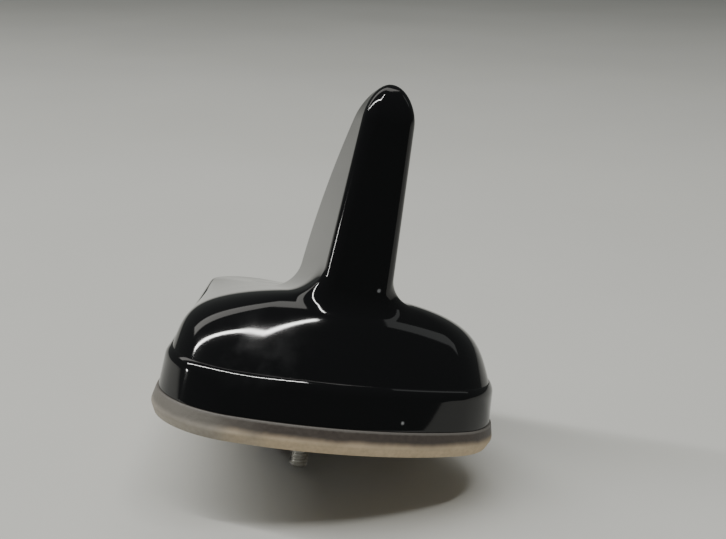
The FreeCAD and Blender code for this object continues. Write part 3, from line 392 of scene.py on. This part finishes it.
SKIN, FIN_WALL, FIN_CORE_EDGE, ROOF_SHARE, CORE_FOOT_SHARE, CORE_FOOT = 0.68 * WALL, 2.2, 0.6, 0.92, 0.25, 0.2


def inner_skin():
    """The hollow from the fin's top down to the rim: the fin's outline inset by its wall, then the dome's levels, each
    inset by the skin and lowered by the wall."""
    core_z = np.full(COUNT, LOW_TOUCH)
    for _ in range(8):
        core_x, core_y, _ = outline(*fin_outline(core_z, 1.0, FIN_WALL, FIN_CORE_EDGE))
        core_z = dome_level(ROOF_SHARE, core_x) - WALL
    heights = core_z + (TIP_START - FIN_WALL - core_z) * np.linspace(1, 0, CORE_ROWS)[:, None]
    core_x, core_y, _ = outline(*fin_outline(heights, 1.0, FIN_WALL, FIN_CORE_EDGE))
    fin_core = np.stack([core_x, core_y, heights], -1)
    levels = np.linspace(ROOF_SHARE, CORE_FOOT_SHARE, CORE_ROWS)[:, None]
    core_x, core_y, _ = outline(*dome_outline(levels, SKIN))
    core_x = core_x * np.cos(TILT * levels)
    dome_core = np.stack([core_x, core_y, dome_level(levels, core_x) - WALL], -1)
    return np.concatenate([fin_core, dome_core, inset_rings([(DOME_INSET + SKIN, CREASE_Z - CORE_FOOT)])])


shell = np.concatenate([inner_skin(), skirt_rings(), dome, fillet, shaft, tip])


def piece(name, points, faces, finish, slot, *stands_for, sharp):
    """A mesh from points in millimetres, smooth apart from its sharp edges, that rides with the antenna."""
    mesh = bpy.data.meshes.new(name)
    mesh.from_pydata((np.asarray(points).reshape(-1, 3) * 0.001).tolist(), [], faces)
    mesh.update()
    mesh.shade_smooth()
    mesh.set_sharp_from_angle(angle=math.radians(sharp))
    mesh.materials.append(finish)
    made = bpy.data.objects.new(name, mesh)
    bpy.context.scene.collection.objects.link(made)
    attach(made, "root")
    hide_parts(*stands_for)


def ring_faces(rows, count, first=0, closed=False):
    """Quads between successive rings, with the end rings filled, or with the last ring joined to the first."""
    here = first + np.arange(rows * count).reshape(rows, count)
    above = np.roll(here, -1, 0) if closed else here[1:]
    here = here if closed else here[:-1]
    quads = np.stack([here, np.roll(here, -1, 1), np.roll(above, -1, 1), above], -1).reshape(-1, 4).tolist()
    if closed:
        return quads
    return quads + [list(range(first + count - 1, first - 1, -1)),
                    list(range(first + (rows - 1) * count, first + rows * count))]


def gloss(where):
    """Black gloss moulding with a wiped haze, a dusty smear on the rear shoulder and two specks of dust."""
    wiped = where.scaled(0.6, 1.0, 2.2).noise(0.09, 5.0)
    fine = where.noise(1.6, 2.0)
    smear_at, low_speck, high_speck = (-47.0, 18.5, 17.0), (-52.6, -9.6, 6.7), (-43.2, -3.7, 29.7)
    smear = (1.0 - where.far(smear_at).step(2.0, 11.0)) * where.noise(0.22, 6.0).step(0.42, 0.72)
    speck = 1.0 - where.far(low_speck).step(0.25, 0.6)
    speck = speck + (1.0 - where.far(high_speck).step(0.2, 0.5)) * 0.5
    dust = smear * 0.018 + speck * 0.8
    return {"Base Color": dust.mix((0.0035, 0.0035, 0.0042), (0.55, 0.56, 0.58)),
            "Roughness": 0.05 + wiped.step(0.45, 0.75) * 0.03 + fine * 0.01 + smear * 0.02 + speck * 0.4,
            "IOR": 1.48}


def turned(profile, x, y, around, shape=lambda radius, z, angle: radius):
    """Rings of a turned piece from pairs of radius and height, upwards, with a shape that may change each radius."""
    radius, height = np.array(profile, float).T[:, :, None]
    angle = np.arange(around) * 2 * np.pi / around
    radius = shape(radius, height, angle) + 0 * angle
    return np.stack([x + radius * np.cos(angle), y + radius * np.sin(angle), height + 0 * radius], -1)


COVER_SCREWS = [(-33.5, 20.0), (-33.5, -20.0), (29.5, 4.4), (29.5, -4.4)]
TOWER_R, PILOT_R, TOWER_FOOT, PILOT_DEPTH, INTO_WALL, TOWER_SIDES = 3.2, 1.28, 5.7, 8.0, 1.2, 36
points, faces = shell.reshape(-1, 3), ring_faces(len(shell), COUNT)
for x, y in COVER_SCREWS:
    tower = turned([(0.05, TOWER_FOOT + PILOT_DEPTH), (PILOT_R, TOWER_FOOT + PILOT_DEPTH), (PILOT_R, TOWER_FOOT),
                    (TOWER_R, TOWER_FOOT), (TOWER_R, 0.0), (0.05, 0.0)], x, y, TOWER_SIDES)
    tower[-2:, :, 2] = dome_height(tower[-2:, :, 0], tower[-2:, :, 1]) - INTO_WALL
    faces += ring_faces(len(tower), TOWER_SIDES, len(points))
    points = np.concatenate([points, tower.reshape(-1, 3)])
piece("cover", points, faces, material("gloss_cover", gloss), "gloss_cover", "radome", sharp=40.0)

# Gasket: moulded rubber between cover and roof, with a rounded lip and a groove below. Its bevel is dark, with a
# painted highlight as a light line along its top edge, and its lower half is tan with dust, greyer towards the left
# end.
GASKET_TOP, WEB_TOP, WELL_INSET, RING_INSET = RIM_Z, 2.4, 4.25, 11.0
GROOVE_OUTER, GROOVE_INNER, GROOVE_DEPTH = 7.2, 8.8, 0.9
LIP_R, FOOT_R, TOP_R = 1.1, 0.25, 0.12
SEAT = [(0.9, 0.0), (0.01, 1.9), (0.7, GASKET_TOP)]
BEVEL = [(0.35, 3.4), (0.55, 4.25)]
profile = [(RING_INSET, 0.0), (GROOVE_INNER, 0.0), (GROOVE_INNER, GROOVE_DEPTH), (GROOVE_OUTER, GROOVE_DEPTH),
           (GROOVE_OUTER, 0.0)] + round_corner((2.0, 0.0), SEAT[0], SEAT[1], FOOT_R, 5)
profile += round_corner(*SEAT, LIP_R, 12) + BEVEL
profile += round_corner(SEAT[1], SEAT[2], (2.0, GASKET_TOP), TOP_R, 4)
profile += [(WELL_INSET, GASKET_TOP), (WELL_INSET, WEB_TOP), (RING_INSET, WEB_TOP)]


def dusty_rubber_and_top_highlight(where):
    height, left = where.axis(2), where.axis(1)
    grain, patch = where.noise(1.1, 5.0), where.noise(0.10, 4.0)
    ragged = height + (grain - 0.5) * 0.5 + (patch - 0.5) * 1.6
    tan = 1.0 - ragged.step(1.2, 3.3)
    grey = (left + (patch - 0.5) * 14.0).step(14.0, 27.0)
    # The light grey line along the rounded top edge is a painted highlight, not wear.
    painted_top_highlight = (height + grain * 0.2).step(4.5, 4.75)
    bevel = grey.mix(grain.mix((0.038, 0.031, 0.027), (0.085, 0.070, 0.060)), (0.13, 0.12, 0.105))
    dust = grain.mix((0.52, 0.40, 0.26), (0.82, 0.66, 0.46))
    grey_dust = grain.mix((0.27, 0.24, 0.20), (0.45, 0.41, 0.35))
    colour = painted_top_highlight.mix(tan.mix(bevel, grey.mix(dust, grey_dust)), (0.13, 0.12, 0.11))
    return {"Base Color": colour, "Roughness": 0.5 + tan * 0.35 + (grain - 0.5) * 0.2,
            "Normal": where.bump(grain, 0.3, 0.25)}


rings = inset_rings(profile)
piece("gasket", rings, ring_faces(len(rings), COUNT, closed=True), material("gasket_rubber", dusty_rubber_and_top_highlight),
      "gasket_rubber", "roof_gasket", sharp=42.0)

# Stud: zinc-plated steel with a rolled M4 thread up to a relief under the plate, and a round head let into the plate
# from above.
STUD_X, STUD_END, STUD_R, SHANK_R, PITCH, THREAD_DEPTH, AROUND = -20.0, -14.0, 2.0, 1.98, 0.7, 0.40, 72
THREAD_START, THREAD_LOW, THREAD_TOP, RUN_OUT, RELIEF_R, RELIEF_TOP = -13.5, -13.4, -0.6, 0.5, 1.6, 0.4
HEAD_R, HEAD_FOOT, HEAD_TOP, HEAD_EDGE, AXIS, CREST, ROOT = 3.25, 5.8, 7.0, 0.1, 0.05, 0.1, 1.35


def thread(radius, z, angle):
    """Radius less a triangle wave that climbs one pitch in a turn, cut flat at crest and root, fading out at both ends
    of the thread."""
    phase = z / PITCH - angle / (2 * np.pi)
    groove = 1 - 2 * np.abs(phase - np.floor(phase) - 0.5)
    groove = np.clip(ROOT * groove - CREST, 0, 1)
    threaded = (radius > SHANK_R) & (z < 0)
    fade = np.clip((z - THREAD_START) / RUN_OUT, 0, 1) * np.clip((THREAD_TOP - z) / RUN_OUT, 0, 1)
    return radius - threaded * THREAD_DEPTH * groove * fade


CHAMFER = [(1.3, STUD_END), (1.4, -13.98), (SHANK_R, -13.42)]
THREAD_ROWS = np.arange(THREAD_LOW, THREAD_TOP - 0.04, PITCH / 14)
profile = [(AXIS, STUD_END)] + CHAMFER + [(STUD_R, z) for z in THREAD_ROWS]
profile += [(STUD_R, THREAD_TOP), (RELIEF_R, THREAD_TOP), (RELIEF_R, RELIEF_TOP), (SHANK_R, RELIEF_TOP),
            (SHANK_R, HEAD_FOOT), (HEAD_R, HEAD_FOOT), (HEAD_R, HEAD_TOP - HEAD_EDGE),
            (HEAD_R - HEAD_EDGE, HEAD_TOP), (AXIS, HEAD_TOP)]


def zinc(where):
    brushed = where.scaled(1.0, 1.0, 5.0).noise(1.3, 4.0)
    stain = where.noise(0.5, 3.0).step(0.5, 0.75)
    return {"Base Color": stain.mix((0.66, 0.65, 0.62), (0.34, 0.32, 0.28)), "Metallic": 0.95 - stain * 0.25,
            "Roughness": 0.24 + brushed * 0.14 + stain * 0.2, "Normal": where.bump(brushed, 0.15, 0.03)}


rings = turned(profile, STUD_X, 0.0, AROUND, thread)
piece("stud", rings, ring_faces(len(rings), AROUND), material("stud_steel", zinc), "stud_steel", "mounting_stud",
      sharp=50.0)


# Base plate: die-cast aluminium, bead-blasted, with the faint flow pattern of the casting. It closes the cover from
# below and carries the board's posts, the stud and the boss.
def dress(node, finish):
    """Give a CAD node its finish."""
    nodes[node].material_slots[0].material = finish


def cast(where):
    skin, flow = where.noise(3.0, 3.0), where.noise(0.12, 4.0)
    return {"Base Color": flow.step(0.3, 0.7).mix((0.40, 0.40, 0.41), (0.56, 0.56, 0.57)), "Metallic": 0.9,
            "Roughness": 0.42 + skin * 0.16, "Normal": where.bump(skin, 0.25, 0.08)}


dress("base_plate", material("cast_plate", cast))


# Cover seal: extruded rubber cord, matt, with a talc bloom. It lies in a groove round the plate, and the cover's wall
# presses on it.
def cord_rubber(where):
    bloom, grain = where.noise(0.3, 4.0), where.noise(4.0, 2.0)
    return {"Base Color": bloom.step(0.45, 0.8).mix((0.018, 0.018, 0.018), (0.07, 0.07, 0.068)),
            "Roughness": 0.72 + grain * 0.15, "Normal": where.bump(grain, 0.2, 0.03)}


dress("cover_seal", material("seal_rubber", cord_rubber))


# Boss seal: a ring die-cut from foam, with open cut cells on its faces. It is slipped over the boss and lies under
# the plate.
def cut_foam(where):
    cell = where.cells(2.6)
    return {"Base Color": cell.step(0.05, 0.5).mix((0.02, 0.02, 0.021), (0.075, 0.075, 0.078)), "Roughness": 0.9,
            "Normal": where.bump(cell, 0.6, 0.2)}


dress("boss_seal", material("foam", cut_foam))


# Claw clip: spring steel, stamped and bent, with rolling lines and a grey to brown temper. It snaps onto the boss and
# holds the antenna in the roof until it is tightened.
def temper(where):
    rolled = where.scaled(0.15, 3.0, 3.0).noise(1.2, 3.0)
    heat = where.noise(0.16, 2.0)
    return {"Base Color": heat.step(0.3, 0.75).mix((0.50, 0.49, 0.47), (0.33, 0.31, 0.33)), "Metallic": 1.0,
            "Roughness": 0.27 + rolled * 0.16, "Normal": where.bump(rolled, 0.12, 0.03)}


dress("claw_clip", material("spring_steel", temper))


# Circuit board: glass-fibre board under green solder mask, with tracks that show through as lighter lines and tinned
# vias. It is screwed to the plate's posts.
def solder_mask(where):
    x, y, lift = where.axis(0), where.axis(1), where.noise(0.5, 2.0)
    lane = (y + (x * 0.25).repeat(6.0) * 1.6).repeat(1.6)
    track = (1.0 - lane.step(0.16, 0.24)) * where.noise(0.09, 0.0).step(0.46, 0.5)
    via = 1.0 - where.scaled(1.0, 1.0, 0.0).cells(0.35).step(0.12, 0.16)
    colour = track.mix((0.012, 0.085, 0.032), (0.03, 0.17, 0.06))
    return {"Base Color": via.mix(colour, (0.62, 0.58, 0.42)), "Roughness": 0.3 + lift * 0.12,
            "Normal": where.bump(track, 0.3, 0.035)}


dress("circuit_board", material("board", solder_mask))


# Shield can: tinned sheet, drawn to a lid, with soft dull clouds and fine draw lines. It is soldered to the board over
# the amplifier.
def tinned(where):
    cloud, drawn = where.noise(0.35, 4.0), where.scaled(4.0, 0.4, 0.4).noise(1.0, 2.0)
    return {"Base Color": cloud.mix((0.60, 0.60, 0.59), (0.76, 0.76, 0.75)), "Metallic": 1.0,
            "Roughness": 0.22 + cloud * 0.2, "Normal": where.bump(drawn, 0.08, 0.02)}


dress("shield_can", material("tin", tinned))


# Patch antenna: a fired ceramic tile with a square of silver printed on top, which leaves a bare border. It is held to
# the board by the pad under it.
def silvered(where):
    tile_x, print_edge, tile_top = 7.0, (10.4, 10.6), (13.1, 13.18)
    grain = where.noise(2.4, 4.0)
    edge_x = 1.0 - (where.axis(0) - tile_x).size().step(*print_edge)
    edge_y = 1.0 - where.axis(1).size().step(*print_edge)
    silver = edge_x * edge_y * where.axis(2).step(*tile_top)
    ceramic = grain.mix((0.62, 0.55, 0.44), (0.76, 0.70, 0.60))
    return {"Base Color": silver.mix(ceramic, (0.80, 0.79, 0.76)), "Metallic": silver * 0.95,
            "Roughness": 0.48 - silver * 0.14 + grain * 0.1, "Normal": where.bump(grain, 0.2, 0.04)}


dress("patch_antenna", material("tile", silvered))


# Patch pad: white adhesive foam tape with fine open cells, cut to the tile's size. It holds the tile to the board.
# Only its edge shows.
def tape(where):
    cell = where.cells(4.0)
    return {"Base Color": cell.step(0.0, 0.5).mix((0.70, 0.69, 0.64), (0.88, 0.87, 0.83)), "Roughness": 0.85,
            "Normal": where.bump(cell, 0.4, 0.08)}


dress("patch_pad", material("adhesive", tape))


# Patch pin and socket pins: turned brass with a thin gold plate and patches of tarnish. The patch pin passes through
# tile and board, and the others stand in their sockets' insulators.
def plated(where):
    tarnish, lathe = where.noise(0.9, 3.0), where.scaled(0.5, 0.5, 9.0).noise(1.5, 2.0)
    return {"Base Color": tarnish.step(0.4, 0.8).mix((0.86, 0.68, 0.33), (0.62, 0.46, 0.22)), "Metallic": 1.0,
            "Roughness": 0.2 + lathe * 0.12, "Normal": where.bump(lathe, 0.1, 0.015)}


gold = material("pin_brass", plated)
for node in ("patch_pin", "navigation_pin", "telephone_pin"):
    dress(node, gold)


# Fin carrier: a black moulded plastic foot, satin, with a spark-eroded skin. It stands on the main board and holds the
# upright one in its slot.
def moulded(colour, other):
    """A satin moulded plastic between two near colours, with a fine eroded skin."""
    def finish(where):
        skin, cloud = where.noise(5.0, 2.0), where.noise(0.2, 3.0)
        return {"Base Color": cloud.mix(colour, other), "Roughness": 0.42 + skin * 0.16,
                "Normal": where.bump(skin, 0.2, 0.03)}
    return finish


dress("fin_carrier", material("carrier", moulded((0.045, 0.045, 0.047), (0.065, 0.065, 0.068))))


# Fin board: an upright board under green mask, with the printed aerial, a copper line that runs to and fro. It stands
# in the carrier and reaches up into the hollow fin.
def aerial(where):
    slant, middle, turn_height, swing = 0.36, 14.6, 7.0, 4.0
    line_edge, foot, top = (1.5, 1.8), (25.0, 25.3), (54.0, 54.3)
    along, up = where.axis(0), where.axis(2)
    offset = along + up * slant + middle - (up.repeat(turn_height) - turn_height / 4) * swing
    copper = (1.0 - offset.size().step(*line_edge)) * up.step(*foot) * (1.0 - up.step(*top))
    grain = where.noise(1.8, 3.0)
    mask = grain.mix((0.012, 0.075, 0.03), (0.02, 0.10, 0.04))
    return {"Base Color": copper.mix(mask, (0.10, 0.22, 0.07)), "Roughness": 0.32 + grain * 0.1,
            "Normal": where.bump(copper, 0.3, 0.035)}


dress("fin_board", material("aerial_board", aerial))


# Feed spring: a bent strip of phosphor bronze with rolling lines and browner patches. It is soldered to the main board
# and presses on the upright one.
def bronze(where):
    rolled, warm = where.scaled(3.0, 0.3, 3.0).noise(1.0, 3.0), where.noise(0.5, 2.0)
    return {"Base Color": warm.mix((0.72, 0.45, 0.25), (0.55, 0.33, 0.18)), "Metallic": 1.0,
            "Roughness": 0.26 + rolled * 0.15}


dress("feed_spring", material("spring_bronze", bronze))

# Screws: zinc-plated self-tapping screws with a six-lobed drive. Four hold the cover to the plate from below, and four
# hold the board to its posts from above.
DRIVE_DEPTH, SCREW_SIDES = 0.9, 36


def lobes(drive, depth_z):
    """A shape that gives radii up to the drive's a six-lobed outline, as far in as the drive's floor."""
    def shape(radius, z, angle):
        recess = (radius < drive + 0.01) & (z < depth_z + 0.01)
        return np.where(recess, radius * (1 + 0.11 * np.cos(6 * angle)), radius)
    return shape


def screw(head_r, head_z, head_height, shank_r, length, drive):
    """Half section of a screw that stands head down: drive, head with a rounded rim, threaded shank and point."""
    half_pitch, root, rim_r = 0.45, shank_r - 0.22, 0.45
    top, floor_z = head_z + head_height, head_z + DRIVE_DEPTH
    shank = [(root if k % 2 else shank_r, top + 0.3 + k * half_pitch) for k in range(int((length - 1.4) / half_pitch))]
    return ([(0.03, floor_z), (drive - 0.05, floor_z), (drive, floor_z - 0.08), (drive, head_z + 0.06),
             (drive + 0.1, head_z)] + round_corner((0.0, head_z), (head_r, head_z), (head_r, top), rim_r, 6)
            + [(head_r, top), (root, top)] + shank + [(0.3, top + length - 0.02), (0.05, top + length)])


def plated_screw(where):
    cloud = where.noise(0.8, 3.0)
    return {"Base Color": cloud.mix((0.55, 0.55, 0.54), (0.70, 0.70, 0.68)), "Metallic": 1.0,
            "Roughness": 0.28 + cloud * 0.14}


screw_steel = material("screw_steel", plated_screw)


def screws(name, places, section, drive, mirror, node):
    """Copies of one screw, upside down about a height if one is given, as a single piece."""
    points, faces = [], []
    for x, y in places:
        rings = turned(section, x, y, SCREW_SIDES, lobes(drive, section[0][1]))
        if mirror is not None:
            rings = rings[:, ::-1].copy()
            rings[..., 2] = 2 * mirror - rings[..., 2]
        faces += ring_faces(len(rings), SCREW_SIDES, len(points) * len(rings) * SCREW_SIDES)
        points.append(rings)
    piece(name, points, faces, screw_steel, "screw_steel", node, sharp=48.0)


BOARD_SCREWS = [(-30.0, 12.5), (-30.0, -12.5), (22.3, 8.5), (22.3, -8.5)]
BOARD_TOP, BOARD_HEAD, COVER_DRIVE, BOARD_DRIVE = 8.6, 1.4, 1.2, 0.95
screws("cover_fixings", COVER_SCREWS, screw(2.5, 2.7, 1.6, 1.25, 9.0, COVER_DRIVE), COVER_DRIVE, None, "cover_screws")
screws("board_fixings", BOARD_SCREWS, screw(2.0, BOARD_TOP - BOARD_HEAD, BOARD_HEAD, 1.0, 5.0, BOARD_DRIVE),
       BOARD_DRIVE, BOARD_TOP, "board_screws")

# Sockets: two coded coaxial sockets that open into the boss, moulded in blue for navigation and in claret for the
# telephone, each with a nickel shield tube and a white insulator round its pin.
dress("navigation_socket", material("blue_plastic", moulded((0.010, 0.060, 0.30), (0.014, 0.085, 0.38))))
dress("telephone_socket", material("claret_plastic", moulded((0.20, 0.012, 0.035), (0.27, 0.02, 0.05))))


def nickel(where):
    lathe, cloud = where.scaled(0.4, 0.4, 8.0).noise(1.4, 2.0), where.noise(0.7, 3.0)
    return {"Base Color": cloud.mix((0.62, 0.60, 0.55), (0.72, 0.70, 0.65)), "Metallic": 1.0,
            "Roughness": 0.2 + lathe * 0.14}


def white_resin(where):
    cloud = where.noise(1.2, 3.0)
    return {"Base Color": cloud.mix((0.80, 0.80, 0.77), (0.90, 0.90, 0.88)), "Roughness": 0.4 + cloud * 0.1}


shield_metal, insulator = material("shield_metal", nickel), material("insulator", white_resin)
for use in ("navigation", "telephone"):
    dress(f"{use}_shield", shield_metal)
    dress(f"{use}_insulator", insulator)
